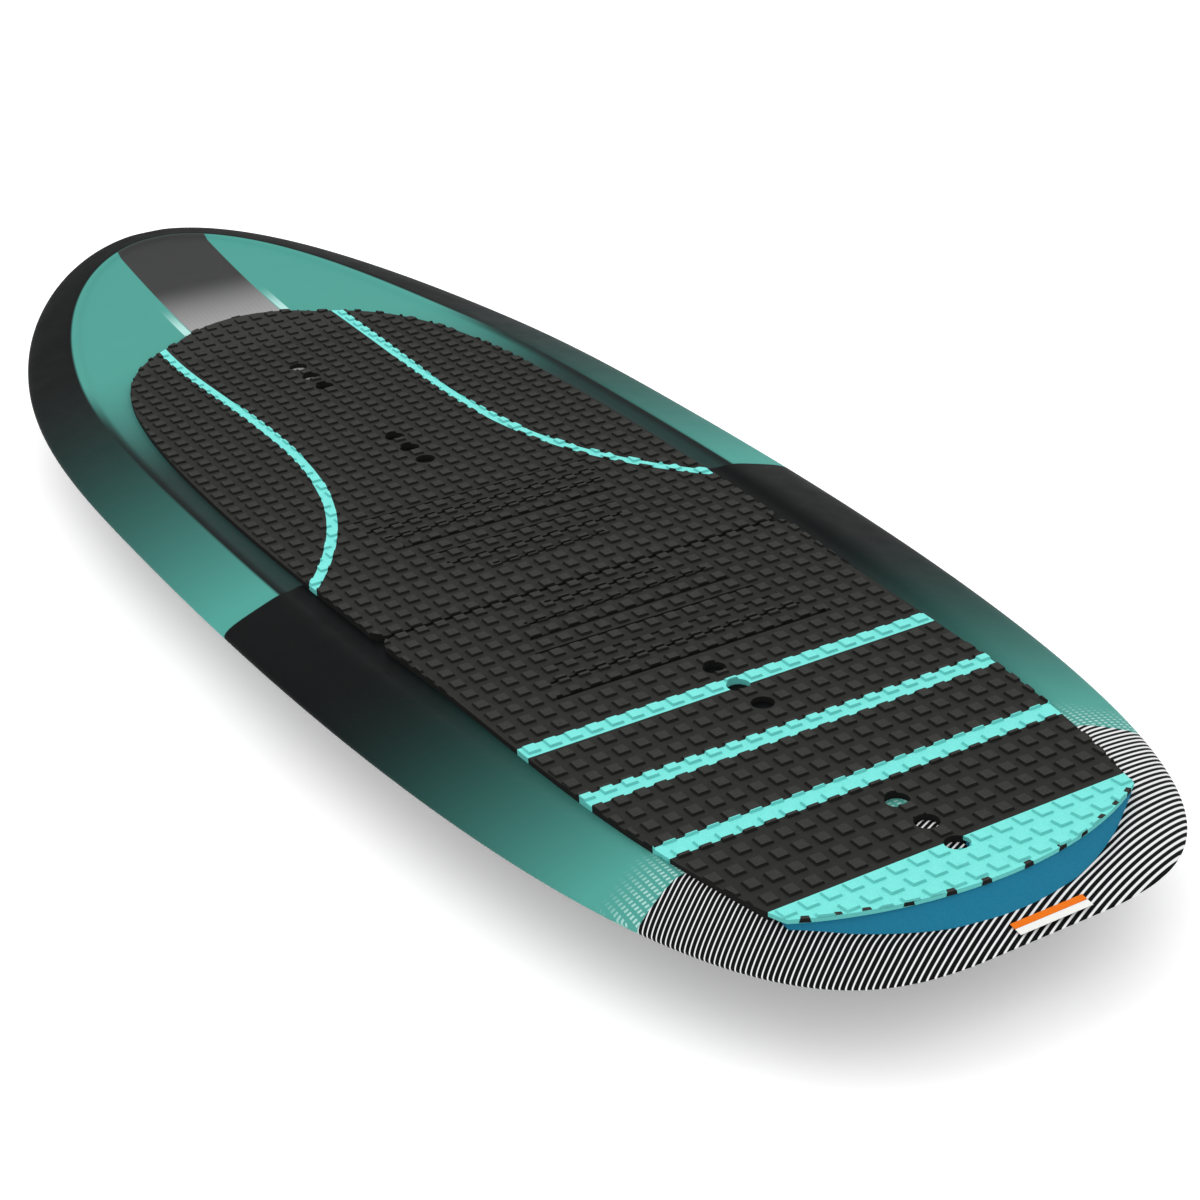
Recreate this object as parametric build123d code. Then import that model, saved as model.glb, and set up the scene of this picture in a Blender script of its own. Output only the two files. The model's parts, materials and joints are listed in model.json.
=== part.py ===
from build123d import *
import math
import os

# Stand up foil board, 4 ft class. Millimetres, +X to the nose, +Y to port, +Z up.
# The origin is under the middle of the board's length, on the flat of the bottom.

# Outline
LENGTH = 1220.0
HALF_WIDTH = 215.0
WIDEST_X = 73.0
TAIL_FLAT = 45.0          # half length of the straight tail edge
NOSE_FLAT = 12.0          # half length of the straight nose tip
NOSE_POWERS = (2.646, 1.904)
TAIL_POWERS = (2.253, 3.905)
OUTLINE_STEPS = 7

# Insets of the rail's level rings from the outline, at the side, the tail and the nose
BILGE_INSET = (90.0, 112.0, 50.0)
LOWER_TURN_INSET = (58.0, 78.0, 30.0)
LOWER_RAIL_INSET = (25.0, 39.0, 12.0)
UPPER_TURN_INSET = (9.0, 3.0, 6.0)
BEVEL_INSET = (51.0, 22.0, 26.0)
RECESS_LOW_INSET = (54.0, 25.0, 28.0)
RECESS_HIGH_INSET = (42.0, 17.0, 20.0)

# Heights
CREST_Z = 72.0            # deck crest beside the front pad
PAD_BED_Z = 69.5          # flat bed of the deck recess
APEX_Z = 57.0             # widest line of the rail, amidships
NOSE_APEX_RISE = 42.0
NOSE_DECK_RISE = 33.0
NOSE_DECK_START = 315.0
NOSE_BOTTOM_RISE = 78.0
TAIL_DECK_DROP = 10.5
TAIL_DECK_START = -500.0
TAIL_BOTTOM_RISE = 8.0
TAIL_RECESS = 0.8         # depth left in the recess towards the tail
CREST_FADE = (-460.0, -70.0)
FLAT_BOTTOM = (-350.0, 50.0)
BED_FLAT = (-500.0, 315.0)
DECK_FLAT = (-70.0, 315.0)
STACK_LOW = -60.0
STACK_HIGH = 170.0
RECESS_LOW = 50.0         # the recess walls slope between these two levels
RECESS_HIGH = 120.0
SEAM_SHARE = 0.81         # height of the seam between the skins, from bottom to rail apex
BILGE_DROP = 8.0          # the lowest ring runs out below the bottom, which cuts it

# Laminate and EVA
SKIN = 3.0                # foam sandwich laminate
PAD_THICKNESS = 5.0
BAND_THICKNESS = 4.0
KICK_RISE = 5.0
GROOVE_WIDTH = 2.4
GROOVE_DEPTH = 3.5

# Foot-strap holes: groups of three on the centre line
STRAP_CENTRES = {
    "front_strap_fore": 259.0,
    "front_strap_aft": 86.0,
    "rear_strap_fore": -340.0,
    "rear_strap_aft": -515.0,
}
STRAP_PITCH = 25.0
STRAP_COUNT = 3
PAD_HOLE_R = 7.0
SLEEVE_R = 5.5
SLEEVE_LENGTH = 20.0
SLEEVE_BORE_R = 3.0       # M6
SLEEVE_SINK = 0.3
PLUG_DEPTH = 30.0
PLUG_SIZE = (84.0, 30.0, PLUG_DEPTH + 2)   # runs out above the foam, which cuts it

# Foil tracks: 90 mm apart, with M8 T-nuts set for a 165 x 90 mm mast plate
TRACK_CENTRE_X = -215.0
TRACK_HALF_SPACING = 45.0
TRACK_SIZE = (290.0, 26.0, 20.0)
SLOT_LENGTH = 270.0
SLOT_MOUTH = 9.6
LIP_HEIGHT = 4.0
CHAMBER_WIDTH = 18.0
CHAMBER_HEIGHT = 9.0
ENTRY_LENGTH = 20.0
NUT_SIZE = (18.0, 17.2, 7.5)
NUT_LIFT = 0.3
NUT_BORE_R = 4.0          # M8
NUT_CHAMFER = 1.0
PLATE_HALF_LENGTH = 82.5
BLOCK_SIZE = (330.0, 160.0, 38.0)

# EVA layout
FRONT_PAD_REAR = -166.5
FRONT_PAD_NOSE = 411.0
REAR_PAD_FRONT = -170.0
PAD_CORNER_R = 10.0
FRONT_PAD_SIDE = [
    (-150.0, 146.5), (0.0, 152.0), (110.0, 152.0),
    (250.0, 142.0), (341.0, 114.0), (388.0, 60.0),
]
REAR_PAD_SIDE = [(-185.0, 146.0), (-330.0, 138.5), (-465.0, 127.5), (-548.0, 109.0)]
CURVED_STRIP = [
    (400.0, 75.0), (303.0, 76.0), (200.0, 72.0), (99.0, 75.0),
    (17.0, 93.0), (-36.0, 118.0), (-90.0, 158.0),
]
STRIP_WIDTH = 7.3
CROSS_STRIPS = [(-342.1, -330.4), (-405.0, -393.1), (-470.0, -456.7)]
BAND_FRONT = -536.7
BAND_REAR = -580.0
WEDGE_REAR = -592.0
WEDGE_CORNER = (-547.0, 108.0)
STRIP_STEPS = 8
PAD_FLAT = (-525.0, 315.0)
PAD_LOWEST = 52.0
PAD_REACH = 60.0
FRONT_GROOVES = [
    (-8.0, 93.0), (-27.0, 87.0), (-44.0, 82.0), (-62.0, 77.0),
    (-82.0, 71.0), (-101.0, 65.0), (-119.0, 41.0),
]
REAR_GROOVES = [
    (-186.0, 41.0), (-204.0, 65.0), (-222.0, 71.0), (-240.0, 77.0),
    (-258.0, 82.0), (-276.0, 87.0), (-294.0, 93.0),
]


# Lines of the board seen from the side: each gives z from the place x along the board

def nose_share(x, start):
    """How far x is along the stretch from start to the nose, 0 to 1."""
    return max(0.0, (x - start) / (LENGTH / 2 - start))


def tail_share(x, start):
    """How far x is along the stretch from start to the tail, 0 to 1."""
    return max(0.0, (start - x) / (LENGTH / 2 + start))


def apex_z(x):
    return APEX_Z + NOSE_APEX_RISE * nose_share(x, WIDEST_X) ** 4


def bed_z(x):
    rise = NOSE_DECK_RISE * nose_share(x, NOSE_DECK_START) ** 1.8
    drop = TAIL_DECK_DROP * tail_share(x, TAIL_DECK_START) ** 1.8
    return PAD_BED_Z + rise - drop


def deck_z(x):
    """Crest line: full recess depth beside the front pad, fading towards the tail."""
    fade = min(1.0, max(0.0, (x - CREST_FADE[0]) / (CREST_FADE[1] - CREST_FADE[0])))
    return bed_z(x) + TAIL_RECESS + (CREST_Z - PAD_BED_Z - TAIL_RECESS) * fade


def bottom_z(x):
    nose = NOSE_BOTTOM_RISE * nose_share(x, FLAT_BOTTOM[1]) ** 3
    tail = TAIL_BOTTOM_RISE * tail_share(x, FLAT_BOTTOM[0]) ** 2
    return nose + tail


def pad_top_z(x):
    nose = bed_z(max(x, 0.0)) - PAD_BED_Z
    kick = KICK_RISE * max(0.0, (BAND_FRONT - x) / (BAND_FRONT - BAND_REAR)) ** 1.2
    return PAD_BED_Z + PAD_THICKNESS + nose + kick


def between(low, high, share):
    """A line between two others, share of the way up."""
    return lambda x: low(x) + share * (high(x) - low(x))


def shifted(line, rise):
    """A line moved up by rise."""
    return lambda x: line(x) + rise


# The plan outline and the level rings made from it

def quarter_outline(reach, powers, flat):
    """One end of the port outline, from beside the widest point out to the end."""
    last = math.acos((flat / HALF_WIDTH) ** (powers[1] / 2))
    points = []
    for step in range(1, OUTLINE_STEPS + 1):
        angle = last * step / OUTLINE_STEPS
        along = (math.sin(angle) / math.sin(last)) ** (2 / powers[0])
        points.append((WIDEST_X + reach * along, HALF_WIDTH * math.cos(angle) ** (2 / powers[1])))
    return points


TAIL_REACH = WIDEST_X + LENGTH / 2
NOSE_REACH = LENGTH / 2 - WIDEST_X
AFT_OUTLINE = quarter_outline(-TAIL_REACH, TAIL_POWERS, TAIL_FLAT)[::-1] + [(WIDEST_X, HALF_WIDTH)]
FORE_OUTLINE = [(WIDEST_X, HALF_WIDTH)] + quarter_outline(NOSE_REACH, NOSE_POWERS, NOSE_FLAT)


def inset_point(point, insets):
    """Move an outline point in towards the widest station, by insets at the side, tail and nose."""
    side, tail, nose = insets
    end = tail / TAIL_REACH if point[0] < WIDEST_X else nose / NOSE_REACH
    return WIDEST_X + (point[0] - WIDEST_X) * (1 - end), point[1] * (1 - side / HALF_WIDTH)


def rail_edge(outline, insets, height, tangents):
    """One side curve of a ring."""
    places = [inset_point(point, insets) for point in outline]
    return Edge.make_spline([Vector(x, y, height(x)) for x, y in places], tangents=tangents, scale=False)


def ring(insets, height):
    """Closed ring round the board at a height that varies along it."""
    aft = rail_edge(AFT_OUTLINE, insets, height, [Vector(0, 1, 0), Vector(1, 0, 0)])
    fore = rail_edge(FORE_OUTLINE, insets, height, [Vector(1, 0, 0), Vector(0, -1, 0)])
    nose = Edge.make_line(fore @ 1, mirror_y(fore @ 1))
    tail = Edge.make_line(mirror_y(aft @ 0), aft @ 0)
    port = [aft, fore]
    starboard = [edge.mirror(Plane.XZ) for edge in port]
    return Wire([*port, nose, *starboard, tail])


def mirror_y(point):
    return Vector(point.X, -point.Y, point.Z)


def level(z):
    return lambda x: z


def ring_stack(rings):
    """Solid through a stack of (insets, height) rings, closed by a level ring below and one above."""
    wires = [ring(rings[0][0], level(STACK_LOW))]
    wires += [ring(insets, height) for insets, height in rings]
    wires.append(ring(rings[-1][0], level(STACK_HIGH)))
    return Solid.make_loft(wires, ruled=True)


def side_line(height, straight):
    """Edges of one side line: straight over a flat stretch, curved towards both ends."""
    reach = LENGTH / 2 + 20
    aft = [-reach + (straight[0] + reach) * i / 4 for i in range(5)]
    fore = [straight[1] + (reach - straight[1]) * i / 7 for i in range(8)]
    along = [Vector(x, 0, height(x)) for x in aft]
    ahead = [Vector(x, 0, height(x)) for x in fore]
    level_run = Edge.make_line(along[-1], ahead[0])
    return [Edge.make_spline(along), level_run, Edge.make_spline(ahead)]


def side_prism(low, high):
    """Solid right across the board between two side lines, each a list of joined edges."""
    ends = [Edge.make_line(low[-1] @ 1, high[-1] @ 1), Edge.make_line(low[0] @ 0, high[0] @ 0)]
    face = Face(Wire([*low, *high, *ends]))
    return extrude(face.moved(Location((0, 260, 0))), amount=520, dir=(0, -1, 0))


def level_line(z):
    reach = LENGTH / 2 + 20
    return [Edge.make_line(Vector(-reach, 0, z), Vector(reach, 0, z))]


# The hull

def recess():
    """Space of the shallow deck recess that the pads lie in."""
    rings = [ring(RECESS_LOW_INSET, level(RECESS_LOW)), ring(RECESS_HIGH_INSET, level(RECESS_HIGH))]
    walls = Solid.make_loft(rings, ruled=True)
    return walls & side_prism(side_line(bed_z, BED_FLAT), level_line(RECESS_HIGH - 1))


def hull_body(skin, deck, deck_flat):
    """The board's shape, skin mm inside its outer surface, up to a deck line."""
    low = shifted(bottom_z, skin)
    top = shifted(deck, -skin)
    crest = shifted(deck_z, -skin)
    rings = [
        (BILGE_INSET, shifted(low, -BILGE_DROP)),
        (LOWER_TURN_INSET, between(low, apex_z, 0.25)),
        (LOWER_RAIL_INSET, between(low, apex_z, 0.62)),
        ((0.0, 0.0, 0.0), apex_z),
        (UPPER_TURN_INSET, between(apex_z, crest, 0.45)),
        (BEVEL_INSET, between(apex_z, crest, 1.2)),
    ]
    rings = [(tuple(value + skin for value in insets), height) for insets, height in rings]
    return ring_stack(rings) & side_prism(side_line(low, FLAT_BOTTOM), side_line(top, deck_flat))


def layers():
    """Deck shell, hull shell and foam core; the shells part just below the widest line of the rail."""
    seam = side_line(between(bottom_z, apex_z, SEAM_SHARE), FLAT_BOTTOM)
    above = side_prism(seam, level_line(STACK_HIGH))
    outer = hull_body(0.0, deck_z, DECK_FLAT) - recess()
    core = hull_body(SKIN, bed_z, BED_FLAT)
    deck = (outer & above) - core
    hull = (outer - above) - core
    return outer, deck, hull, core


# Foot-strap fixings

def strap_places(centre):
    first = centre - STRAP_PITCH * (STRAP_COUNT - 1) / 2
    return [first + STRAP_PITCH * i for i in range(STRAP_COUNT)]


def upright(x, y, radius, low, high):
    """Vertical cylinder between two heights."""
    place = Location((x, y, low))
    return Solid.make_cylinder(radius, high - low).moved(place)


def sleeves(centre, radius, low_by, high_by):
    """Cylinders at one group's three places, measured from the top of its sleeves."""
    top = bed_z(centre) - SLEEVE_SINK
    return [upright(x, 0, radius, top + low_by, top + high_by) for x in strap_places(centre)]


def strap_plug(centre, core):
    low = bed_z(centre) - SKIN - PLUG_DEPTH
    block = Solid.make_box(*PLUG_SIZE).moved(Location((centre - PLUG_SIZE[0] / 2, -PLUG_SIZE[1] / 2, low)))
    return block & core


def threaded_sleeves(centre):
    outside = sleeves(centre, SLEEVE_R, -SLEEVE_LENGTH, 0)
    bores = sleeves(centre, SLEEVE_BORE_R, -SLEEVE_LENGTH, 0)
    return [body - bore for body, bore in zip(outside, bores)]


# Foil tracks and their T-nuts

def centred_box(size, x, y, low):
    return Solid.make_box(*size).moved(Location((x - size[0] / 2, y - size[1] / 2, low)))


def foil_track(y):
    body = centred_box(TRACK_SIZE, TRACK_CENTRE_X, y, 0)
    mouth = centred_box((SLOT_LENGTH, SLOT_MOUTH, LIP_HEIGHT), TRACK_CENTRE_X, y, 0)
    chamber = centred_box((SLOT_LENGTH, CHAMBER_WIDTH, CHAMBER_HEIGHT), TRACK_CENTRE_X, y, LIP_HEIGHT)
    entry = centred_box((ENTRY_LENGTH, CHAMBER_WIDTH, LIP_HEIGHT), TRACK_CENTRE_X, y, 0)
    return body - (mouth + chamber + entry)


def t_nut(x, y):
    low = LIP_HEIGHT + NUT_LIFT
    body = centred_box(NUT_SIZE, x, y, low)
    top_edges = body.faces().sort_by(Axis.Z)[-1].edges()
    body = body.chamfer(NUT_CHAMFER, None, top_edges)
    return body - upright(x, y, NUT_BORE_R, low, low + NUT_SIZE[2])


# EVA deck pads

def pad_sheet(outer):
    """One sheet of EVA lying on the deck; every pad is cut from it."""
    top = side_line(pad_top_z, PAD_FLAT)
    return side_prism(level_line(PAD_LOWEST), top) - outer


def pad_outline(front_x, side, closing):
    """Plan face of a pad: square end with round corners, side curve and a curved far end."""
    turn = side[0]
    direction = 1 if turn[0] > front_x else -1
    corner = Vector(front_x, turn[1] - PAD_CORNER_R)
    flank = Edge.make_spline([Vector(*point) for point in side], tangents=None)
    round_end = Vector(front_x + direction * PAD_CORNER_R, turn[1])
    arc = Edge.make_tangent_arc(corner, Vector(0, 1), round_end)
    link = Edge.make_line(arc @ 1, flank @ 0)
    port = [arc, link, flank]
    starboard = [edge.mirror(Plane.XZ) for edge in port]
    end = Edge.make_line(mirror_y(corner), corner)
    return Face(Wire([end, *port, *starboard, *closing(flank @ 1)]))


def nose_closing(point):
    return [Edge.make_three_point_arc(point, Vector(FRONT_PAD_NOSE, 0), mirror_y(point))]


def tail_closing(point):
    return [Edge.make_three_point_arc(point, Vector(BAND_REAR, 0), mirror_y(point))]


def upright_prism(face):
    return extrude(face.moved(Location((0, 0, PAD_LOWEST))), amount=PAD_REACH, dir=(0, 0, 1))


def strip_face(centre_line):
    """Plan face of a strip of even width along a curved centre line."""
    spine = Edge.make_spline([Vector(*point) for point in centre_line])
    sides = []
    for offset in (STRIP_WIDTH / 2, -STRIP_WIDTH / 2):
        points = []
        for step in range(STRIP_STEPS + 1):
            share = step / STRIP_STEPS
            along = spine % share
            points.append(spine @ share + Vector(-along.Y, along.X) * offset)
        sides.append(Edge.make_spline(points))
    ends = [Edge.make_line(sides[0] @ end, sides[1] @ end) for end in (0, 1)]
    return Face(Wire([*sides, *ends]))


def cross_band(x_low, x_high):
    """Slab right across the board between two stations."""
    return Solid.make_box(x_high - x_low, 400, PAD_REACH).moved(Location((x_low, -200, PAD_LOWEST)))


def groove_cutter(grooves):
    top = PAD_BED_Z + PAD_THICKNESS
    low = top - GROOVE_DEPTH
    return [centred_box((GROOVE_WIDTH, 2 * half, GROOVE_DEPTH), x, 0, low) for x, half in grooves]


def hole_cutter():
    places = [x for centre in STRAP_CENTRES.values() for x in strap_places(centre)]
    return [upright(x, 0, PAD_HOLE_R, PAD_LOWEST, PAD_LOWEST + PAD_REACH) for x in places]


def front_pads(sheet):
    """Front pad: centre panel, two outer panels and the two curved strips between them."""
    outline = upright_prism(pad_outline(FRONT_PAD_REAR, FRONT_PAD_SIDE, nose_closing))
    pad = (sheet & outline) - hole_cutter() - groove_cutter(FRONT_GROOVES)
    port = upright_prism(strip_face(CURVED_STRIP))
    starboard = port.mirror(Plane.XZ)
    panels = (pad - port - starboard).solids().sort_by(Axis.Y)
    return {
        "front_pad_starboard": panels[0],
        "front_pad_centre": panels[1],
        "front_pad_port": panels[2],
        "front_strip_port": pad & port,
        "front_strip_starboard": pad & starboard,
    }


def rear_pads(sheet):
    """Rear pad: four dark panels, the cross strips between them and the band at the tail."""
    outline = upright_prism(pad_outline(REAR_PAD_FRONT, REAR_PAD_SIDE, tail_closing))
    pad = (sheet & outline) - hole_cutter() - groove_cutter(REAR_GROOVES)
    made = {}
    panel_front = REAR_PAD_FRONT
    for number, (low, high) in enumerate(CROSS_STRIPS, 1):
        made[f"rear_pad_{number}"] = pad & cross_band(high, panel_front)
        made[f"rear_strip_{number}"] = pad & cross_band(low, high)
        panel_front = low
    made["rear_pad_4"] = pad & cross_band(BAND_FRONT, panel_front)
    tail = pad & cross_band(BAND_REAR - 20, BAND_FRONT)
    under = side_prism(level_line(PAD_LOWEST), side_line(shifted(pad_top_z, -BAND_THICKNESS), PAD_FLAT))
    made["tail_band"] = tail - under
    return made, under


def wedge_face(corner, rear_x, z):
    front = Vector(BAND_FRONT, corner[1] + 2, z)
    port = Vector(*corner, z)
    edges = [
        Edge.make_line(mirror_y(front), front),
        Edge.make_line(front, port),
        Edge.make_three_point_arc(port, Vector(rear_x, 0, z), mirror_y(port)),
        Edge.make_line(mirror_y(port), mirror_y(front)),
    ]
    return Wire(edges)


def kick_wedge(outer, under):
    """Firm foam wedge that lifts the band at the tail."""
    foot = wedge_face(WEDGE_CORNER, WEDGE_REAR, PAD_LOWEST)
    head = wedge_face(WEDGE_CORNER, BAND_REAR + 1, PAD_BED_Z + PAD_THICKNESS + 2 * KICK_RISE)
    block = Solid.make_loft([foot, head], ruled=True)
    return ((block & under) - outer) - hole_cutter()


# Putting the board together

def build_board():
    outer, deck_skin, hull_skin, core = layers()
    tracks = {}
    nuts = {}
    for side, y in (("port", TRACK_HALF_SPACING), ("starboard", -TRACK_HALF_SPACING)):
        tracks[f"{side}_track"] = foil_track(y)
        for end, x in (("front", PLATE_HALF_LENGTH), ("rear", -PLATE_HALF_LENGTH)):
            nuts[f"{side}_{end}_tnut"] = t_nut(TRACK_CENTRE_X + x, y)
    sides = (TRACK_HALF_SPACING, -TRACK_HALF_SPACING)
    track_room = [centred_box(TRACK_SIZE, TRACK_CENTRE_X, y, 0) for y in sides]
    block = centred_box(BLOCK_SIZE, TRACK_CENTRE_X, 0, SKIN) & core
    nodes = {"track_block": block - track_room, **tracks, **nuts}
    core = core - block
    hull_skin = hull_skin - track_room
    for name, centre in STRAP_CENTRES.items():
        plug = strap_plug(centre, core)
        core = core - plug
        room = sleeves(centre, SLEEVE_R, -SLEEVE_LENGTH, SLEEVE_LENGTH)
        deck_skin = deck_skin - room
        nodes[f"{name}_plug"] = plug - room
        nodes[f"{name}_inserts"] = Compound(threaded_sleeves(centre))
    sheet = pad_sheet(outer)
    rear, under = rear_pads(sheet)
    nodes |= {"foam_core": core, "deck_skin": deck_skin, "hull_skin": hull_skin}
    nodes |= front_pads(sheet)
    nodes |= rear
    nodes["kick_wedge"] = kick_wedge(outer, under)
    return nodes


os.makedirs("parts", exist_ok=True)
for name, shape in build_board().items():
    export_step(shape, f"parts/{name}.step")
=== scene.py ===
import json
import math

import bmesh
import bpy
from mathutils import Matrix, Vector


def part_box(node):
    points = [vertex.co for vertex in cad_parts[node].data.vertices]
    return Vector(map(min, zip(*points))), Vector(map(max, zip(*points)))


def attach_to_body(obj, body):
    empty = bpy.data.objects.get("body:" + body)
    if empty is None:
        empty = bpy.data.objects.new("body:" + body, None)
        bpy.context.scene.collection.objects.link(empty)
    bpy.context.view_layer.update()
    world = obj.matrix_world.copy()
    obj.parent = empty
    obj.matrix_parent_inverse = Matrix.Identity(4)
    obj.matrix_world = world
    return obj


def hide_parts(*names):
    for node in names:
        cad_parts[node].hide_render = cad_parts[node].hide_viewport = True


# Stand up foil board. Metres, in the frame of the CAD parts.

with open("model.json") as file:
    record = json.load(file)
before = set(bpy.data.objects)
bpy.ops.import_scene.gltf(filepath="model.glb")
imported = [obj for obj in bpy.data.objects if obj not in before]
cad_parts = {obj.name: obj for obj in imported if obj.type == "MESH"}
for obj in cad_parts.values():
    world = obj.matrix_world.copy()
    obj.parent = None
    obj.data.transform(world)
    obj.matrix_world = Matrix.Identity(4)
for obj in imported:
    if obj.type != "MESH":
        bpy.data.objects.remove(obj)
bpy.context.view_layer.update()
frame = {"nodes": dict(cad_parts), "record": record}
BODY = "board"

# Outline and heights, as in the CAD model
LENGTH = 1.220
HALF_WIDTH = 0.215
WIDEST_X = 0.073
TAIL_FLAT = 0.045
NOSE_FLAT = 0.012
NOSE_POWERS = (2.646, 1.904)
TAIL_POWERS = (2.253, 3.905)
TAIL_REACH = WIDEST_X + LENGTH / 2
NOSE_REACH = LENGTH / 2 - WIDEST_X
APEX_Z = 0.057                  # widest line of the rail
NOSE_APEX_RISE = 0.042
CREST_Z = 0.072                 # deck crest beside the front pad
BED_Z = 0.0695                  # flat bed of the deck recess
NOSE_DECK_START = 0.315
NOSE_DECK_RISE = 0.033
TAIL_DECK_START = -0.500
TAIL_DECK_DROP = 0.0105
TAIL_RECESS = 0.0008
CREST_FADE = (-0.460, -0.070)
FLAT_BOTTOM = (-0.350, 0.050)
NOSE_BOTTOM_RISE = 0.078
TAIL_BOTTOM_RISE = 0.008
PAD_THICKNESS = 0.005
BAND_THICKNESS = 0.004
BAND_FRONT = -0.5367
BAND_REAR = -0.580
BAND_CORNER_X = -0.548
BAND_HALF = 0.109
KICK_RISE = 0.005

# Shells; the insets of a ring are at the side, the tail and the nose, in mm
SEAM_INSET = (12.5, 19.5, 6.0)
QUARTER_STEPS = 48
INNER_SHARES = [share / 14 for share in range(13, 0, -1)]
DECK_SHELL = 0.0024
HULL_SHELL = 0.0026
TRACK_CUT_BELOW = 0.01
TRACK_CUT_TOP = 0.008

# EVA studs
STUD_PITCH = (0.0148, 0.0132)
STUD_FIRST_X = {"front": 0.0006, "rear": -0.5276, "tail": -0.5276}   # one stud column of each sheet
STUD_BASE = (0.0092, 0.0086)
STUD_TOP = (0.0074, 0.0068)
STUD_HEIGHT = 0.0015
STUD_SINK = 0.0004
STUD_GAP = 0.00005
SHEET_SKIN = 0.001              # vertices closer than this to the pad's top belong to its top face

# Kick wedge, and the notches of the band over it
WEDGE_CORNER = (-0.5475, 0.108)
WEDGE_FRONT = -0.5385
WEDGE_REAR = -0.5915
WEDGE_LEAN = 0.0125
WEDGE_HOLLOW = 0.0012
WEDGE_RIPPLE = 0.00025
WEDGE_STEPS = (72, 7)           # across the board and up the face
FOOT_GAP = 0.0003
HEAD_GAP = 0.0002
LAST_HOLE_X = -0.540
LAST_HOLE_RADIUS = 0.007
NOTCH_PLACES = (-0.93, -0.80, -0.66, -0.50, -0.34, -0.12, 0.12, 0.30, 0.50, 0.68, 0.80, 0.93)
NOTCH_CORNERS = ((-0.0030, -0.0005), (0.0030, -0.0005), (0.0024, 0.0019), (-0.0024, 0.0019))
NOTCH_DEPTH = 0.0024
PROUD = 0.0002                  # how far a notch or cap stands out of the surface round it
CAP_MARGIN = 0.0008
CAP_DEPTH = 0.0012

BOX_FACES = ((3, 2, 1, 0), (4, 5, 6, 7), (0, 1, 5, 4), (1, 2, 6, 5), (2, 3, 7, 6), (3, 0, 4, 7))


# Lines along the board

def nose_share(x, start):
    return max(0.0, (x - start) / (LENGTH / 2 - start))


def tail_share(x, start):
    return max(0.0, (start - x) / (LENGTH / 2 + start))


def apex_z(x):
    return APEX_Z + NOSE_APEX_RISE * nose_share(x, WIDEST_X) ** 4


def bed_z(x):
    rise = NOSE_DECK_RISE * nose_share(x, NOSE_DECK_START) ** 1.8
    return BED_Z + rise - TAIL_DECK_DROP * tail_share(x, TAIL_DECK_START) ** 1.8


def crest_z(x):
    fade = min(1.0, max(0.0, (x - CREST_FADE[0]) / (CREST_FADE[1] - CREST_FADE[0])))
    return bed_z(x) + TAIL_RECESS + (CREST_Z - BED_Z - TAIL_RECESS) * fade


def bottom_z(x):
    nose = NOSE_BOTTOM_RISE * nose_share(x, FLAT_BOTTOM[1]) ** 3
    return nose + TAIL_BOTTOM_RISE * tail_share(x, FLAT_BOTTOM[0]) ** 2


def pad_top_z(x):
    nose = bed_z(max(x, 0.0)) - BED_Z
    kick = KICK_RISE * max(0.0, (BAND_FRONT - x) / (BAND_FRONT - BAND_REAR)) ** 1.2
    return BED_Z + PAD_THICKNESS + nose + kick


def between(low, high, share):
    return lambda x: low(x) + share * (high(x) - low(x))


# Mesh helpers

def new_object(name, vertices, faces):
    mesh = bpy.data.meshes.new(name)
    mesh.from_pydata(vertices, [], faces)
    mesh.validate()
    mesh.update()
    made = bpy.data.objects.new(name, mesh)
    bpy.context.scene.collection.objects.link(made)
    return made


def shade(obj, angle=40):
    """Smooth shading that keeps edges sharper than the angle."""
    for face in obj.data.polygons:
        face.use_smooth = True
    obj.data.set_sharp_from_angle(angle=math.radians(angle))


def turn_outward(mesh):
    """Turns the faces of a closed mesh to look out."""
    bm = bmesh.new()
    bm.from_mesh(mesh)
    bmesh.ops.recalc_face_normals(bm, faces=bm.faces)
    bm.to_mesh(mesh)
    bm.free()


def baked(obj):
    """The object, with its modifiers applied to its mesh."""
    bpy.context.view_layer.update()
    graph = bpy.context.evaluated_depsgraph_get()
    mesh = bpy.data.meshes.new_from_object(obj.evaluated_get(graph))
    obj.modifiers.clear()
    obj.data = mesh
    return obj


def boolean(obj, other, operation):
    """The object cut by another, which is used up."""
    step = obj.modifiers.new("cut", "BOOLEAN")
    step.operation = operation
    step.solver = "EXACT"
    step.object = other
    baked(obj)
    bpy.data.objects.remove(other)
    return obj


def box_faces(start, faces):
    """Adds the faces of a block whose corners, four low and four high, begin at start."""
    for quad in BOX_FACES:
        faces.append([start + i for i in quad])


def box_data(low, high, vertices, faces):
    start = len(vertices)
    for z in (low[2], high[2]):
        vertices += [(low[0], low[1], z), (high[0], low[1], z), (high[0], high[1], z), (low[0], high[1], z)]
    box_faces(start, faces)


def cylinder_data(x, y, radius, low, high, vertices, faces, sides=24):
    start = len(vertices)
    for z in (low, high):
        for i in range(sides):
            turn = math.tau * i / sides
            vertices.append((x + radius * math.cos(turn), y + radius * math.sin(turn), z))
    faces.append([start + i for i in reversed(range(sides))])
    faces.append([start + sides + i for i in range(sides)])
    for i in range(sides):
        j = (i + 1) % sides
        faces.append([start + i, start + j, start + sides + j, start + sides + i])


# Hull shells

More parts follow.
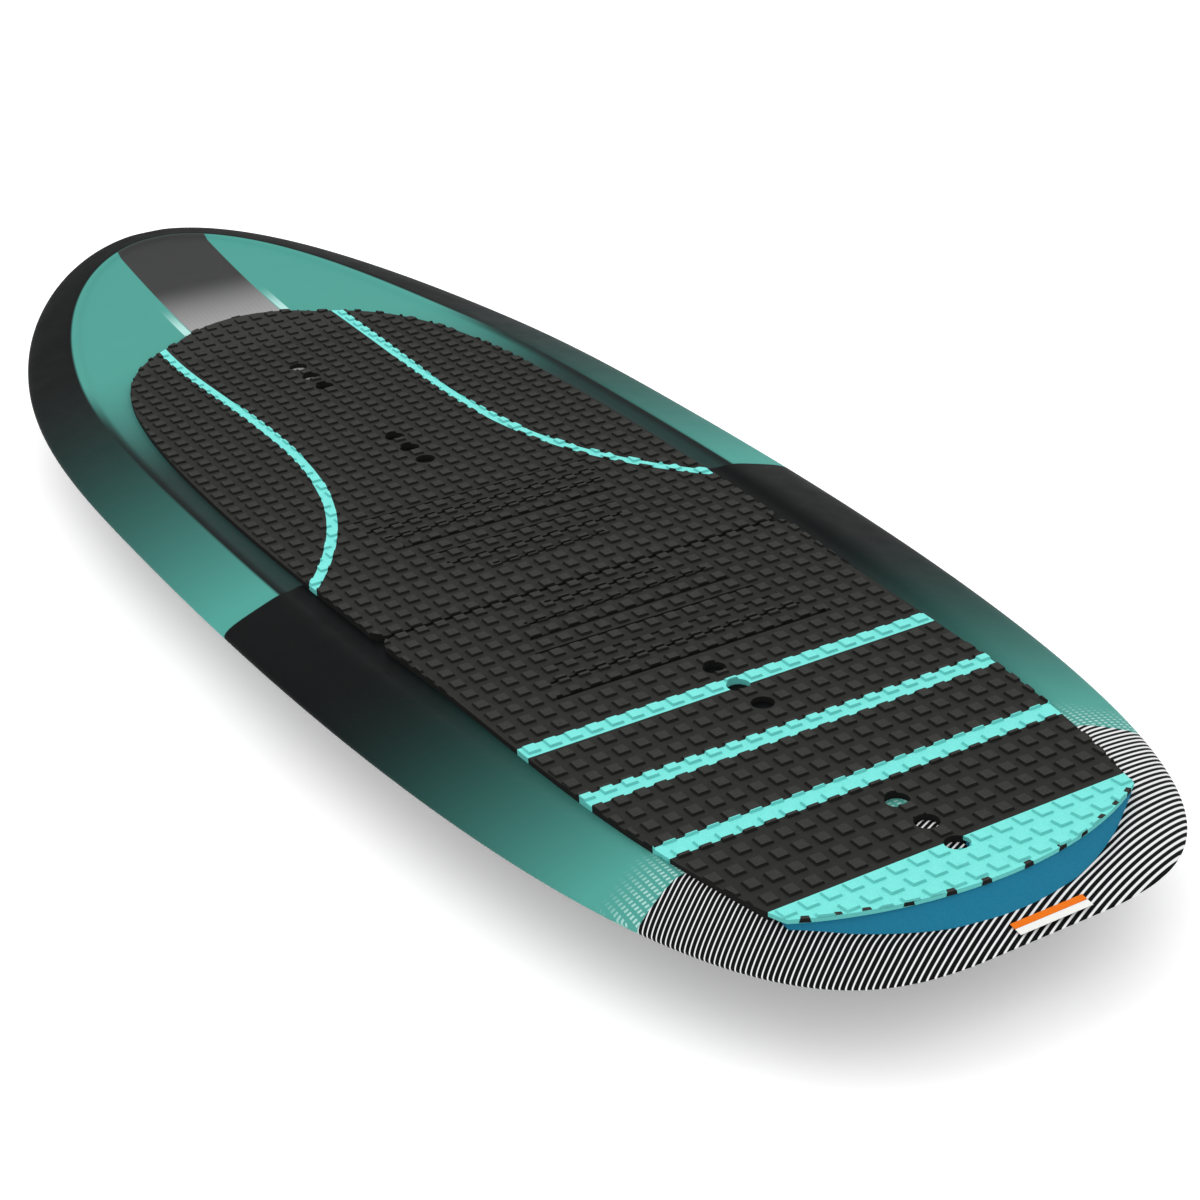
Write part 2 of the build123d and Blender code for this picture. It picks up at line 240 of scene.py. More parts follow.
def outline():
    """Plan outline all round, from the tail's port corner by the nose to the starboard corner."""
    port = []
    ends = ((-TAIL_REACH, TAIL_POWERS, TAIL_FLAT), (NOSE_REACH, NOSE_POWERS, NOSE_FLAT))
    for reach, powers, flat in ends:
        last = math.acos((flat / HALF_WIDTH) ** (powers[1] / 2))
        quarter = []
        for step in range(QUARTER_STEPS + 1):
            angle = last * step / QUARTER_STEPS
            along = (math.sin(angle) / math.sin(last)) ** (2 / powers[0])
            across = math.cos(angle) ** (2 / powers[1])
            quarter.append((WIDEST_X + reach * along, HALF_WIDTH * across))
        port += quarter[:0:-1] if reach < 0 else quarter
    tail = [(-LENGTH / 2, TAIL_FLAT * share) for share in (0.8, 0.4, 0.0, -0.4, -0.8)]
    return port + [(x, -y) for x, y in reversed(port)] + tail[::-1]


def inset_point(point, insets):
    side, tail, nose = (value / 1000 for value in insets)
    end = tail / TAIL_REACH if point[0] < WIDEST_X else nose / NOSE_REACH
    return WIDEST_X + (point[0] - WIDEST_X) * (1 - end), point[1] * (1 - side / HALF_WIDTH)


def inner_rows(insets, height, across):
    """Rows that bring the last ring of a shell in to the middle in even steps."""
    sizes = [1000 * size for size in (HALF_WIDTH, TAIL_REACH, NOSE_REACH)]
    rows = []
    for share in INNER_SHARES:
        ring = [size - share * (size - inset) for size, inset in zip(sizes, insets)]
        rows.append((ring, height, across))
    return rows


def shell(name, rows, pole_height):
    """Skin through rows of (insets, height line, across), closed at a pole.

    The UV map keeps across, which says how far a place is over the shell.
    """
    places = outline()
    count = len(places)
    vertices = []
    across = []
    for insets, height, share in rows:
        for place in places:
            x, y = inset_point(place, insets)
            vertices.append((x, y, height(x)))
            across.append(share)
    faces = []
    for row in range(len(rows) - 1):
        for i in range(count):
            j = (i + 1) % count
            faces.append([row * count + i, (row + 1) * count + i, (row + 1) * count + j, row * count + j])
    pole = len(vertices)
    vertices.append((WIDEST_X, 0, pole_height(WIDEST_X)))
    across.append(rows[-1][2])
    last = (len(rows) - 1) * count
    faces += [[last + i, pole, last + (i + 1) % count] for i in range(count)]
    made = new_object(name, vertices, faces)
    layer = made.data.uv_layers.new(name="across")
    for loop in made.data.loops:
        along = vertices[loop.vertex_index][0] / LENGTH + 0.5
        layer.data[loop.index].uv = (along, across[loop.vertex_index])
    return made


def thicken(obj, thickness):
    """The skin, rounded and given a wall that grows inwards."""
    turn_outward(obj.data)
    smooth = obj.modifiers.new("smooth", "SUBSURF")
    smooth.levels = 1
    smooth.render_levels = 1
    smooth.boundary_smooth = "PRESERVE_CORNERS"
    walls = obj.modifiers.new("walls", "SOLIDIFY")
    walls.thickness = thickness
    walls.offset = -1
    return baked(obj)


def make_deck_shell():
    """Top shell: upper rail, crest, recess wall and bed."""
    def wall(share):
        return between(bed_z, crest_z, share)
    rows = [
        (SEAM_INSET, between(bottom_z, apex_z, 0.81), 0.0),
        ((4.0, 6.0, 2.0), between(bottom_z, apex_z, 0.93), 0.06),
        ((0.0, 0.0, 0.0), between(apex_z, crest_z, 0.05), 0.12),
        ((2.0, 0.7, 1.3), between(apex_z, crest_z, 0.24), 0.18),
        ((8.0, 2.9, 5.2), between(apex_z, crest_z, 0.45), 0.24),
        ((20.0, 8.2, 11.5), between(apex_z, crest_z, 0.68), 0.32),
        ((32.0, 14.0, 17.6), between(apex_z, crest_z, 0.87), 0.40),
        ((39.0, 17.0, 21.0), between(apex_z, crest_z, 0.97), 0.46),
        ((43.5, 19.2, 23.0), crest_z, 0.50),
        ((47.5, 21.2, 24.8), wall(0.93), 0.55),
        ((50.5, 22.6, 26.0), wall(0.60), 0.62),
        ((53.0, 24.0, 27.2), wall(0.18), 0.70),
        ((56.0, 25.6, 28.8), bed_z, 0.80),
        ((61.0, 28.5, 31.5), bed_z, 1.0),
    ]
    rows += inner_rows(rows[-1][0], bed_z, 1.5)
    return thicken(shell("deck_shell", rows, bed_z), DECK_SHELL)


def make_hull_shell():
    """Bottom shell: lower rail and flat bottom, open at the two tracks."""
    def up(share):
        return between(bottom_z, apex_z, share)
    rows = [
        (SEAM_INSET, up(0.81), 0.0),
        ((25.0, 39.0, 12.0), up(0.62), 0.1),
        ((41.5, 58.0, 21.0), up(0.435), 0.2),
        ((58.0, 78.0, 30.0), up(0.25), 0.3),
        ((69.0, 90.0, 37.0), up(0.11), 0.4),
        ((78.0, 99.0, 42.0), up(0.025), 0.5),
        ((87.0, 108.0, 50.0), bottom_z, 0.6),
        ((97.0, 118.0, 62.0), bottom_z, 0.8),
    ]
    rows += inner_rows(rows[-1][0], bottom_z, 1.0)
    made = thicken(shell("hull_shell", rows, bottom_z), HULL_SHELL)
    vertices, faces = [], []
    for node in ("port_track", "starboard_track"):
        low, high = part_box(node)
        foot = (low.x, low.y, low.z - TRACK_CUT_BELOW)
        box_data(foot, (high.x, high.y, TRACK_CUT_TOP), vertices, faces)
    return boolean(made, new_object("cutter", vertices, faces), "DIFFERENCE")


# EVA pads

def stud_data(x, y, vertices, faces):
    """A raised square with sloping sides, standing on the sheet."""
    start = len(vertices)
    for size, drop in ((STUD_BASE, STUD_HEIGHT + STUD_SINK), (STUD_TOP, STUD_GAP)):
        for dx, dy in ((-1, -1), (1, -1), (1, 1), (-1, 1)):
            px = x + dx * size[0] / 2
            vertices.append((px, y + dy * size[1] / 2, pad_top_z(px) - drop))
    box_faces(start, faces)


def copy_of(node, name):
    """A welded copy of a CAD node's mesh as a new object."""
    mesh = frame["nodes"][node].data.copy()
    made = bpy.data.objects.new(name, mesh)
    mesh.materials.clear()
    bpy.context.scene.collection.objects.link(made)
    bm = bmesh.new()
    bm.from_mesh(mesh)
    bmesh.ops.remove_doubles(bm, verts=bm.verts, dist=1e-6)
    bm.to_mesh(mesh)
    bm.free()
    return made


def make_studs(node):
    """The studs of a panel, cut to its outline, holes and grooves."""
    low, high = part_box(node)
    vertices, faces = [], []
    first_x = STUD_FIRST_X[node.split("_")[0]]
    first = math.floor((low.x - first_x) / STUD_PITCH[0])
    last = math.ceil((high.x - first_x) / STUD_PITCH[0])
    reach = math.ceil(max(-low.y, high.y) / STUD_PITCH[1])
    for column in range(first, last + 1):
        for row in range(-reach, reach + 1):
            y = row * STUD_PITCH[1]
            if low.y - STUD_BASE[1] < y < high.y + STUD_BASE[1]:
                stud_data(first_x + column * STUD_PITCH[0], y, vertices, faces)
    return boolean(new_object("studs", vertices, faces), copy_of(node, "cutter"), "INTERSECT")


def make_pad(node):
    """One EVA panel: its sheet, lowered to the foot of its studs, and the studs."""
    studs = make_studs(node)
    sheet = copy_of(node, node + "_eva")
    for vertex in sheet.data.vertices:
        if vertex.co.z > pad_top_z(vertex.co.x) - SHEET_SKIN:
            vertex.co.z -= STUD_HEIGHT
    bm = bmesh.new()
    bm.from_mesh(sheet.data)
    bm.from_mesh(studs.data)
    bm.to_mesh(sheet.data)
    bm.free()
    bpy.data.objects.remove(studs)
    return sheet


# Materials

class Paint:
    """Small helper that writes a node material."""

    def __init__(self, name):
        self.material = bpy.data.materials.new(name)
        self.material.use_nodes = True
        self.tree = self.material.node_tree
        self.shader = self.tree.nodes["Principled BSDF"]
        self.place = self.node("ShaderNodeTexCoord").outputs["Object"]
        split = self.node("ShaderNodeSeparateXYZ")
        self.link(self.place, split.inputs[0])
        self.x, self.y, self.z = split.outputs

    def node(self, kind):
        return self.tree.nodes.new(kind)

    def link(self, source, target):
        self.tree.links.new(source, target)

    def feed(self, value, target):
        if isinstance(value, bpy.types.NodeSocket):
            self.link(value, target)
        else:
            target.default_value = value

    def math(self, operation, *values):
        made = self.node("ShaderNodeMath")
        made.operation = operation
        for value, target in zip(values, made.inputs):
            self.feed(value, target)
        return made.outputs[0]

    def product(self, *shares):
        """Masks laid over each other."""
        total = shares[0]
        for share in shares[1:]:
            total = self.math("MULTIPLY", total, share)
        return total

    def ramp(self, value, low, high, start=0.0, end=1.0):
        """Smooth change from start to end as value goes from low to high."""
        made = self.node("ShaderNodeMapRange")
        made.interpolation_type = "SMOOTHSTEP"
        self.feed(value, made.inputs["Value"])
        ends = (("From Min", low), ("From Max", high), ("To Min", start), ("To Max", end))
        for name, number in ends:
            self.feed(number, made.inputs[name])
        return made.outputs[0]

    def fade(self, full, clear):
        """1 at full, falling along the board to 0 at clear, fast at first, as sprayed paint does."""
        made = self.node("ShaderNodeMapRange")
        self.feed(self.x, made.inputs["Value"])
        made.inputs["From Min"].default_value = clear
        made.inputs["From Max"].default_value = full
        return self.math("POWER", made.outputs[0], 3.0)

    def mix(self, share, first, second):
        made = self.node("ShaderNodeMix")
        made.data_type = "RGBA"
        self.feed(share, made.inputs[0])
        self.feed(first, made.inputs[6])
        self.feed(second, made.inputs[7])
        return made.outputs[2]

    def noise(self, scale, detail=3.0):
        made = self.node("ShaderNodeTexNoise")
        made.inputs["Scale"].default_value = scale
        made.inputs["Detail"].default_value = detail
        self.link(self.place, made.inputs["Vector"])
        return made.outputs[0]

    def facing_up(self):
        """1 on a level face, 0 on an upright one."""
        split = self.node("ShaderNodeSeparateXYZ")
        self.link(self.node("ShaderNodeNewGeometry").outputs["True Normal"], split.inputs[0])
        return self.ramp(split.outputs[2], 0.5, 0.85)

    def bump(self, height, distance, strength=1.0):
        made = self.node("ShaderNodeBump")
        made.inputs["Distance"].default_value = distance
        made.inputs["Strength"].default_value = strength
        self.link(height, made.inputs["Height"])
        self.link(made.outputs[0], self.shader.inputs["Normal"])

    def set(self, **values):
        for name, value in values.items():
            self.feed(value, self.shader.inputs[name.replace("_", " ")])


def srgb(red, green, blue):
    """Linear colour of an 8-bit sRGB one."""
    linear = []
    for value in (red, green, blue):
        curved = ((value / 255 + 0.055) / 1.055) ** 2.4
        linear.append(curved if value > 10 else value / 255 / 12.92)
    return (*linear, 1.0)


def scaled(colour, factor):
    return tuple(min(1.0, value * factor) for value in colour[:3]) + (1.0,)


TEAL = srgb(74, 148, 138)
BLACK = srgb(11, 11, 12)
DEEP = srgb(34, 54, 52)
DECK_SPECK = srgb(90, 110, 108)
HULL_SPECK = srgb(80, 84, 84)
BAND_LIGHT = srgb(168, 168, 168)
BAND_DARK = srgb(58, 58, 58)
HATCH_GREY = srgb(72, 72, 72)
BAND_EDGE = srgb(190, 232, 226)
STRIPE_WHITE = srgb(222, 222, 222)
DOT_TEAL = srgb(205, 238, 232)
STUD_GREY = srgb(48, 48, 46)
# Painted shade: the sheet between the studs of the dark pads, darker than the stud tops.
SHEET_SHADE_GREY = srgb(38, 38, 36)
# Painted shade: the upright faces of the dark pads get this darker grey.
SIDE_SHADE_GREY = srgb(24, 24, 23)
# Painted shade: black painted on the floors of the pads' grooves.
GROOVE_SHADE_BLACK = srgb(5, 5, 5)
PAD_TEAL = srgb(116, 216, 208)
# Painted shade: the upright faces of the light pads get this darker teal.
PAD_TEAL_SIDE_SHADE = srgb(96, 188, 182)
WEDGE_BLUE = srgb(28, 112, 142)
LABEL_ORANGE = srgb(226, 112, 24)
LABEL_WHITE = srgb(228, 228, 224)

# Where the paint changes, in metres along x or off the middle, or in shares across the shell
SPLIT_X = (-0.083, -0.066)
FORE_FADE = (-0.065, 0.45)
AFT_FADE = (-0.46, -0.16)
DECK_FADE = (0.13, 0.375)
INSIDE_CREST = (0.485, 0.515)
SHADE_ACROSS = (0.50, 0.66)
SHADE_X = (0.24, 0.36)
UNDER_PADS_HALF = (0.030, 0.045)
UNDER_PADS_START = (-0.46, -0.42)
UNDER_PADS_END = (0.370, 0.375)
NOSE_BAND_HALF = (0.0395, 0.0405)
NOSE_BAND_START = (0.246, 0.248)
HATCH_PITCH = 0.0011
STRIPE_PITCH = 0.00175
STRIPE_SLANT = 0.47
DOT_PITCH = (0.0014, 0.0022)


def speckled(paint, colour, amount=0.10, scale=900.0):
    """Colour with a fine uneven grain."""
    share = paint.ramp(paint.noise(scale), 0.35, 0.65)
    return paint.mix(share, scaled(colour, 1 - amount), scaled(colour, 1 + amount))


def base_coat(paint, across, side, inner):
    """Teal that fades to black both ways from the split, and black under the middle of the pads."""
    split_x = paint.ramp(across, 0.0, 1.0, *SPLIT_X)
    ahead = paint.ramp(paint.math("SUBTRACT", paint.x, split_x), -0.0006, 0.0006)
    rail = paint.mix(paint.fade(*FORE_FADE), BLACK, TEAL)
    deck = paint.mix(paint.ramp(paint.x, *DECK_FADE), DEEP, TEAL)
    shade_x = paint.ramp(paint.x, *SHADE_X, 0.9, 0.0)
    shadow = paint.product(paint.ramp(across, *SHADE_ACROSS, 1.0, 0.0), shade_x)
    fore = paint.mix(inner, rail, paint.mix(shadow, deck, BLACK))
    aft = paint.mix(paint.fade(*AFT_FADE), BLACK, TEAL)
    under_pads = paint.product(
        paint.ramp(side, *UNDER_PADS_HALF, 1.0, 0.0),
        paint.ramp(paint.x, *UNDER_PADS_START),
        paint.ramp(paint.x, *UNDER_PADS_END, 1.0, 0.0),
        inner,
    )
    return paint.mix(under_pads, paint.mix(ahead, aft, fore), BLACK)


def nose_band(paint, colour, side, inner):
    """Grey band up the middle of the nose, hatched at its light end, with a pale line each side."""
    start = paint.ramp(paint.x, *NOSE_BAND_START)
    band = paint.product(paint.ramp(side, *NOSE_BAND_HALF, 1.0, 0.0), inner, start)
    grey = paint.mix(paint.ramp(paint.x, 0.40, 0.50), BAND_LIGHT, BAND_DARK)
    hatch = paint.ramp(paint.math("PINGPONG", paint.x, HATCH_PITCH), 0.0003, 0.0008)
    hatch = paint.product(hatch, paint.ramp(paint.x, 0.42, 0.50, 0.55, 0.0))
    colour = paint.mix(band, colour, paint.mix(hatch, grey, HATCH_GREY))
    edge = paint.product(
        paint.ramp(side, 0.0405, 0.041),
        paint.ramp(side, 0.047, 0.0475, 1.0, 0.0),
        paint.ramp(paint.x, 0.41, 0.465, 0.75, 0.0),
        inner,
    )
    return paint.mix(edge, colour, BAND_EDGE)


def tail_print(paint, colour, side):
    """Slanting stripes over the tail and fading dots ahead of them."""
    middle = paint.ramp(side, 0.02, 0.10, -0.021, 0.0)
    border = paint.math("ADD", middle, paint.ramp(side, 0.12, 0.18, -0.481, -0.500))
    ahead = paint.math("SUBTRACT", paint.x, border)
    dots = paint.product(
        paint.ramp(paint.math("PINGPONG", paint.x, DOT_PITCH[0]), 0.0006, 0.0008),
        paint.ramp(paint.math("PINGPONG", paint.y, DOT_PITCH[1]), 0.0009, 0.0011),
        paint.ramp(ahead, 0.004, 0.032, 0.5, 0.0),
    )
    slant = paint.math("ADD", paint.x, paint.math("MULTIPLY", paint.y, STRIPE_SLANT))
    phase = paint.math("ADD", slant, paint.math("MULTIPLY", paint.y, paint.y))
    thinner = paint.ramp(paint.y, -0.15, 0.15, 0.0, 0.00030)
    wave = paint.math("SUBTRACT", paint.math("PINGPONG", phase, STRIPE_PITCH), thinner)
    striped = paint.mix(paint.ramp(wave, 0.00085, 0.00115), BLACK, STRIPE_WHITE)
    tail = paint.ramp(ahead, -0.0004, 0.0004, 1.0, 0.0)
    return paint.mix(tail, paint.mix(dots, colour, DOT_TEAL), striped)


def lacquer(paint, colour, speck):
    """Satin lacquer with a very fine grain."""
    grain = paint.ramp(paint.noise(1500.0), 0.3, 0.7, 0.0, 0.02)
    rough = paint.ramp(paint.noise(60.0), 0.2, 0.8, 0.44, 0.52)
    paint.set(Base_Color=paint.mix(grain, colour, speck), Roughness=rough)
    paint.shader.inputs["Specular IOR Level"].default_value = 0.02
    paint.bump(paint.noise(420.0), 0.00006)
    return paint.material


def deck_paint():
    paint = Paint("deck_paint_finish")
    uv = paint.node("ShaderNodeUVMap")
    uv.uv_map = "across"
    parts = paint.node("ShaderNodeSeparateXYZ")
    paint.link(uv.outputs[0], parts.inputs[0])
    across = parts.outputs[1]
    side = paint.math("ABSOLUTE", paint.y)
    inner = paint.ramp(across, *INSIDE_CREST)
    colour = base_coat(paint, across, side, inner)
    colour = nose_band(paint, colour, side, inner)
    return lacquer(paint, tail_print(paint, colour, side), DECK_SPECK)


def hull_paint():
    return lacquer(Paint("hull_paint_finish"), BLACK, HULL_SPECK)


def eva(name, colour, side_shade_colour, grain=0.16, painted_hollow_shade=False):
    """Matt moulded closed-cell foam. Upright faces take the darker side colour, a painted shade; the flag
    for hollows also paints the sheet between the studs darker than the stud tops and the groove floors
    black, as painted shade.
    """
    paint = Paint(name)
    top = speckled(paint, colour, grain, 1400.0)
    if painted_hollow_shade:
        top_z = BED_Z + PAD_THICKNESS
        # Painted shade: the sheet below the stud tops is painted darker and the groove floors black.
        top = paint.mix(paint.ramp(paint.z, top_z - 0.0012, top_z - 0.0006), SHEET_SHADE_GREY, top)
        top = paint.mix(paint.ramp(paint.z, top_z - 0.0030, top_z - 0.0020), GROOVE_SHADE_BLACK, top)
    # Painted shade: upright faces take the darker side colour, level faces the top colour.
    paint.set(Base_Color=paint.mix(paint.facing_up(), side_shade_colour, top),
              Roughness=paint.ramp(paint.noise(250.0), 0.2, 0.8, 0.78, 0.92))
    paint.shader.inputs["Specular IOR Level"].default_value = 0.12
    paint.bump(paint.noise(2200.0, 4.0), 0.00012)
    return paint.material


def plain(name, colour, metallic, rough, scale):
    """Turned, anodised or cut stock with fine streaks along X."""
    paint = Paint(name)
    stretch = paint.node("ShaderNodeMapping")
    stretch.inputs["Scale"].default_value = (0.15, 1.0, 1.0)
    paint.link(paint.place, stretch.inputs["Vector"])
    streaks = paint.node("ShaderNodeTexNoise")
    streaks.inputs["Scale"].default_value = scale
    paint.link(stretch.outputs[0], streaks.inputs["Vector"])
    paint.set(Base_Color=speckled(paint, colour, 0.12, scale),
              Roughness=paint.ramp(streaks.outputs[0], 0.3, 0.7, rough - 0.06, rough + 0.06))
    paint.shader.inputs["Metallic"].default_value = metallic
    paint.bump(streaks.outputs[0], 0.00004)
    return paint.material


def foam(name, colour):
    """Bead foam: rounded cells pressed together."""
    paint = Paint(name)
    cells = paint.node("ShaderNodeTexVoronoi")
    cells.inputs["Scale"].default_value = 320.0
    paint.link(paint.place, cells.inputs["Vector"])
    edge = paint.ramp(cells.outputs["Distance"], 0.2, 0.7)
    paint.set(Base_Color=paint.mix(edge, colour, scaled(colour, 0.8)),
              Roughness=paint.ramp(edge, 0, 1, 0.75, 0.9))
    paint.bump(cells.outputs["Distance"], 0.0002)
    return paint.material


def dress(obj, material):
    obj.data.materials.clear()
    obj.data.materials.append(material)


# The pieces

def attach(obj, material):
    """Puts a piece on the board's body, in its material."""
    dress(obj, material)
    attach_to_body(obj, BODY)


def finish_piece(obj, material, node, angle=40):
    """Attaches a piece that stands in for a CAD node."""
    shade(obj, angle)
    attach(obj, material)
    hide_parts(node)


def wedge_point(x, y, up):
    """A place on the wedge, up being the share of the height between the deck and the band."""
    foot = bed_z(x) + FOOT_GAP
    head = pad_top_z(x) - BAND_THICKNESS - HEAD_GAP
    return x, y, foot + up * (head - foot)


def make_wedge():
    """Cut foam wedge under the band: its rear face is hollowed a little and lightly rippled."""
    steps, levels = WEDGE_STEPS
    corner_x, corner_y = WEDGE_CORNER
    rear_face, front_face = [], []
    for level in range(levels + 1):
        up = level / levels
        rear = WEDGE_REAR + WEDGE_LEAN * up
        for step in range(steps + 1):
            across = -1 + 2 * step / steps
            bow = (corner_x - rear) * (1 - across * across)
            hollow = WEDGE_HOLLOW * math.sin(math.pi * up) * (1 - across ** 4)
            ripple = WEDGE_RIPPLE * math.sin(9 * math.pi * across) * math.sin(math.pi * up)
            rear_face.append(wedge_point(corner_x - bow + hollow + ripple, corner_y * across, up))
            front_face.append(wedge_point(WEDGE_FRONT, corner_y * across, up))
    row = steps + 1
    front = len(rear_face)
    faces = []
    for level in range(levels):
        for step in range(steps):
            a = level * row + step
            faces.append([a, a + row, a + row + 1, a + 1])
            b = front + a
            faces.append([b, b + 1, b + row + 1, b + row])
    for step in range(steps):
        faces.append([step, step + 1, front + step + 1, front + step])
        top = levels * row + step
        faces.append([top, front + top, front + top + 1, top + 1])
    for level in range(levels):
        for edge, flip in ((0, False), (steps, True)):
            a = level * row + edge
            quad = [a, front + a, front + a + row, a + row]
            faces.append(quad[::-1] if flip else quad)
    made = new_object("kick_wedge_eva", rear_face + front_face, faces)
    turn_outward(made.data)
    cut_vertices, cut_faces = [], []
    cylinder_data(LAST_HOLE_X, 0, LAST_HOLE_RADIUS, 0.04, 0.10, cut_vertices, cut_faces)
    return boolean(made, new_object("cutter", cut_vertices, cut_faces), "DIFFERENCE")


def make_notches():
    """Dark notches in the band's rear edge, between its studs."""
    vertices, faces = [], []
    bow = BAND_CORNER_X - BAND_REAR
    for across in NOTCH_PLACES:
        y = BAND_HALF * across
        x = BAND_CORNER_X - bow * (1 - across * across)
        lean = math.atan2(2 * bow * across, BAND_HALF)
        top = pad_top_z(x) - STUD_HEIGHT + PROUD
        start = len(vertices)
        for size, z in ((1.0, top - NOTCH_DEPTH), (0.8, top)):
            for along, out in NOTCH_CORNERS:
                dx = out * math.cos(lean) + along * size * math.sin(lean)
                dy = along * size * math.cos(lean) - out * math.sin(lean)
                vertices.append((x + dx, y + dy, z))
        box_faces(start, faces)
    made = new_object("band_notches", vertices, faces)
    turn_outward(made.data)
    return made


def make_caps():
    """Painted-over tops of the rear sleeves, where the deck falls away from them."""
    low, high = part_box("rear_strap_aft_inserts")
    radius = (high.y - low.y) / 2 + CAP_MARGIN
    vertices, faces = [], []
    for x in (low.x + radius, (low.x + high.x) / 2, high.x - radius):
        cylinder_data(x, 0, radius, high.z - CAP_DEPTH, high.z + PROUD, vertices, faces)
    return new_object("sleeve_caps", vertices, faces)


def make_label(name, x_low, x_high, y_low, y_high):
    """Thin blank sticker that follows the deck."""
    steps = 12
    vertices, faces = [], []
    for lift in (0.0001, 0.0004):
        for i in range(steps + 1):
            y = y_low + (y_high - y_low) * i / steps
            for x in (x_low, x_high):
                vertices.append((x, y, crest_z(x) + lift))
    side = 2 * (steps + 1)
    for i in range(steps):
        a = 2 * i
        faces.append([a, a + 1, a + 3, a + 2])
        faces.append([side + a, side + a + 2, side + a + 3, side + a + 1])
        for k, flip in ((0, False), (1, True)):
            quad = [a + k, a + k + 2, side + a + k + 2, side + a + k]
            faces.append(quad[::-1] if flip else quad)
    for a, flip in ((0, True), (2 * steps, False)):
        quad = [a, a + 1, side + a + 1, side + a]
        faces.append(quad[::-1] if flip else quad)
    return new_object(name, vertices, faces)


deck_finish = deck_paint()
finish_piece(make_deck_shell(), deck_finish, "deck_skin")
finish_piece(make_hull_shell(), hull_paint(), "hull_skin")

# Painted shade on the dark pads' upright faces, on the sheet between their studs and in their groove
# floors.
dark_eva = eva("dark_eva_finish", STUD_GREY, SIDE_SHADE_GREY, painted_hollow_shade=True)
# Painted shade on the upright faces of the light pads.
light_eva = eva("light_eva_finish", PAD_TEAL, PAD_TEAL_SIDE_SHADE, 0.06)
DARK_PADS = ["front_pad_centre", "front_pad_port", "front_pad_starboard"]
DARK_PADS += ["rear_pad_1", "rear_pad_2", "rear_pad_3", "rear_pad_4"]
LIGHT_PADS = ["front_strip_port", "front_strip_starboard"]
LIGHT_PADS += ["rear_strip_1", "rear_strip_2", "rear_strip_3", "tail_band"]
for names, material, slot in ((DARK_PADS, dark_eva, "dark_eva"), (LIGHT_PADS, light_eva, "light_eva")):
    for node in names:
        pad = make_pad(node)
        finish_piece(pad, material, node, angle=25)

wedge = make_wedge()
wedge_finish = eva("wedge_foam_finish", WEDGE_BLUE, WEDGE_BLUE, 0.10)
finish_piece(wedge, wedge_finish, "kick_wedge")

notches = make_notches()
shade(notches)
attach(notches, dark_eva)

caps = make_caps()
shade(caps)
attach(caps, deck_finish)

LABEL_Y = (-0.032, 0.013)
LABELS = (
    ("label_orange", -0.6015, -0.5975, LABEL_ORANGE),
    ("label_white", -0.6058, -0.6017, LABEL_WHITE),
)
for name, x_low, x_high, colour in LABELS:
    label = make_label(name, x_low, x_high, *LABEL_Y)
    attach(label, eva(name + "_finish", colour, colour, 0.03))

# Pieces that stay as the CAD made them, in their finishes
FINISHES = {
    "core_foam": foam("core_foam_finish", srgb(238, 238, 234)),
    "dense_foam": foam("dense_foam_finish", srgb(222, 200, 150)),
    "track_metal": plain("track_finish", srgb(46, 46, 48), 0.8, 0.42, 500.0),
    "insert_metal": plain("insert_finish", srgb(196, 160, 90), 1.0, 0.35, 700.0),
    "nut_steel": plain("nut_finish", srgb(190, 190, 192), 1.0, 0.32, 700.0),
}
for part in frame["record"]["subparts"]:
    if part["material_slot"] in FINISHES:
        dress(frame["nodes"][part["node"]], FINISHES[part["material_slot"]])


# Studio

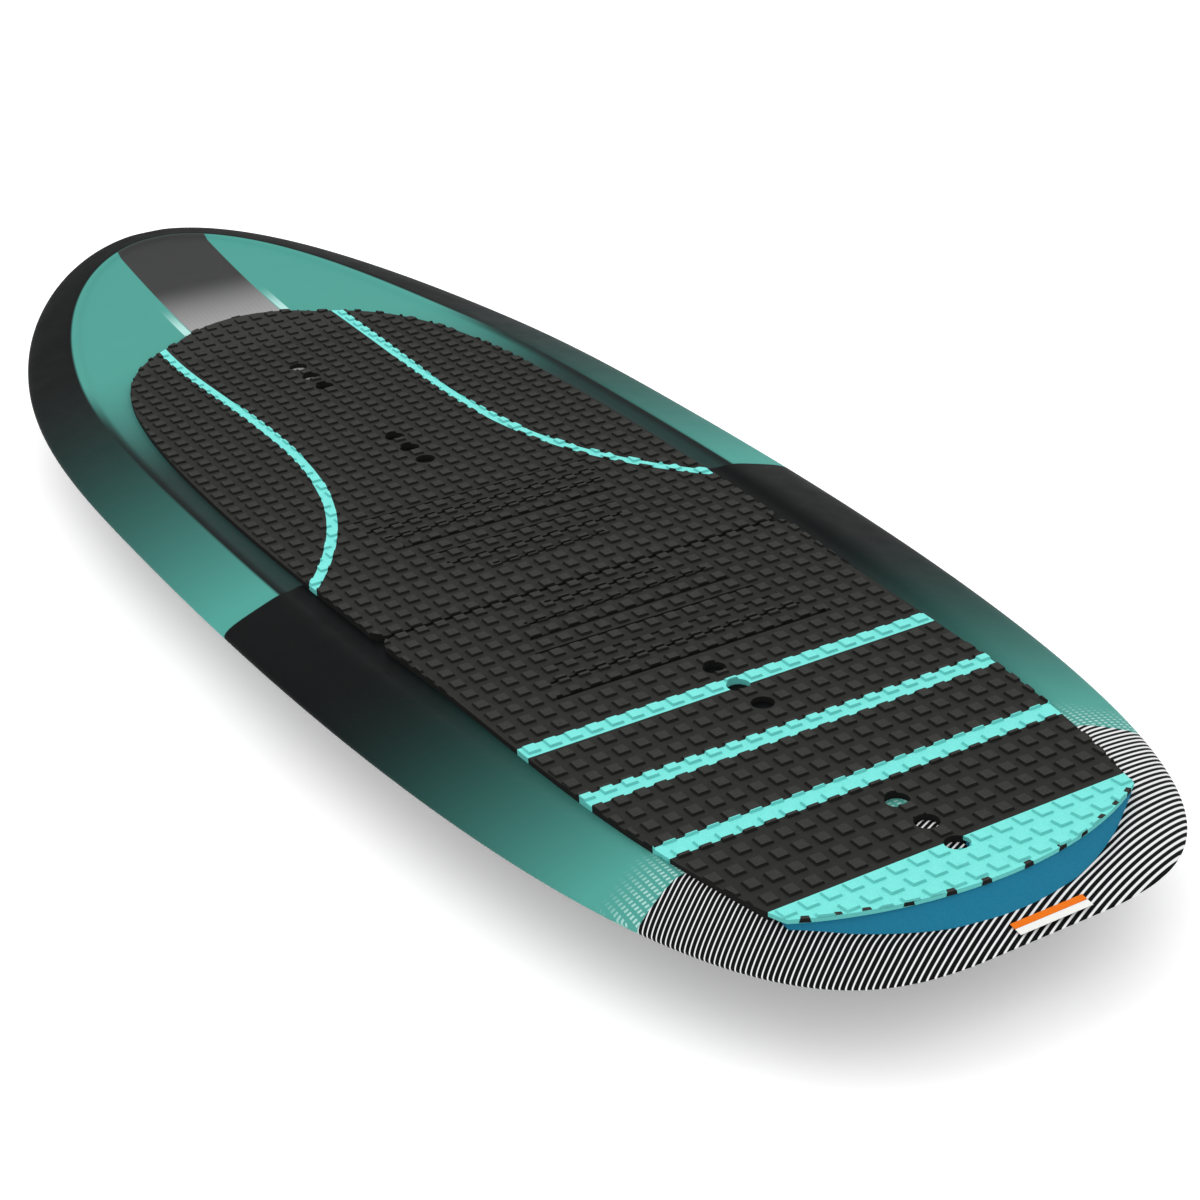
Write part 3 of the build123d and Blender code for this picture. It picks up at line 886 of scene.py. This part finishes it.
FLOOR_CORNERS = ((-4.0, -6.0), (6.0, -6.0), (6.0, 6.0), (-4.0, 6.0))
FLOOR_Z = -0.0005
FLOOR_GLOW = 0.25
WHITE = (1.0, 1.0, 1.0, 1.0)
LIGHT_TARGET = (0.0, 0.0, 0.05)
LIGHTS = (      # name, place, size, watts
    ("key", (0.9, 1.2, 2.4), (2.6, 2.6), 20.0),
    ("fill", (-1.8, 0.4, 1.6), (1.8, 1.8), 5.0),
    ("rim", (1.2, -2.0, 1.5), (2.0, 1.2), 5.0),
)
CAMERA_PLACE = (-1.3134, 0.6223, 0.7180)
CAMERA_TURNS = (-28.82, 26.94, -3.24)   # yaw, downward pitch and roll, in degrees
SENSOR_MM = 36.0
LENS_MM = SENSOR_MM * 2316.04 / 1200


def make_floor():
    """Pale flat floor that glows a little, so the board's shadow stays light."""
    floor = new_object("studio_floor", [(x, y, FLOOR_Z) for x, y in FLOOR_CORNERS], [(0, 1, 2, 3)])
    paint = Paint("floor_finish")
    paint.set(Base_Color=speckled(paint, srgb(250, 250, 250), 0.01, 8.0))
    paint.shader.inputs["Roughness"].default_value = 0.9
    paint.shader.inputs["Emission Color"].default_value = WHITE
    paint.shader.inputs["Emission Strength"].default_value = FLOOR_GLOW
    dress(floor, paint.material)


def area_light(name, place, size, power):
    data = bpy.data.lights.new(name, "AREA")
    data.shape = "RECTANGLE"
    data.size, data.size_y = size
    data.energy = power
    light = bpy.data.objects.new(name, data)
    light.location = place
    aim = Vector(LIGHT_TARGET) - Vector(place)
    light.rotation_euler = aim.to_track_quat("-Z", "Y").to_euler()
    bpy.context.scene.collection.objects.link(light)


def make_camera():
    yaw, pitch, roll = (math.radians(value) for value in CAMERA_TURNS)
    level = math.cos(pitch)
    ahead = Vector((math.cos(yaw) * level, math.sin(yaw) * level, -math.sin(pitch)))
    right = Vector((math.sin(yaw), -math.cos(yaw), 0.0))
    up = right.cross(ahead)
    across = math.cos(roll) * right + math.sin(roll) * up
    above = -math.sin(roll) * right + math.cos(roll) * up
    data = bpy.data.cameras.new("camera")
    data.sensor_width = SENSOR_MM
    data.lens = LENS_MM
    data.clip_start = 0.01
    camera = bpy.data.objects.new("camera", data)
    turn = Matrix((across, above, -ahead)).transposed()
    camera.matrix_world = Matrix.Translation(CAMERA_PLACE) @ turn.to_4x4()
    bpy.context.scene.collection.objects.link(camera)
    bpy.context.scene.camera = camera


make_floor()
for light in LIGHTS:
    area_light(*light)
make_camera()
world = bpy.data.worlds.new("studio")
world.use_nodes = True
world.node_tree.nodes["Background"].inputs[0].default_value = WHITE
world.node_tree.nodes["Background"].inputs[1].default_value = 1.0
bpy.context.scene.world = world
bpy.context.scene.view_settings.view_transform = "Standard"

bpy.context.view_layer.update()
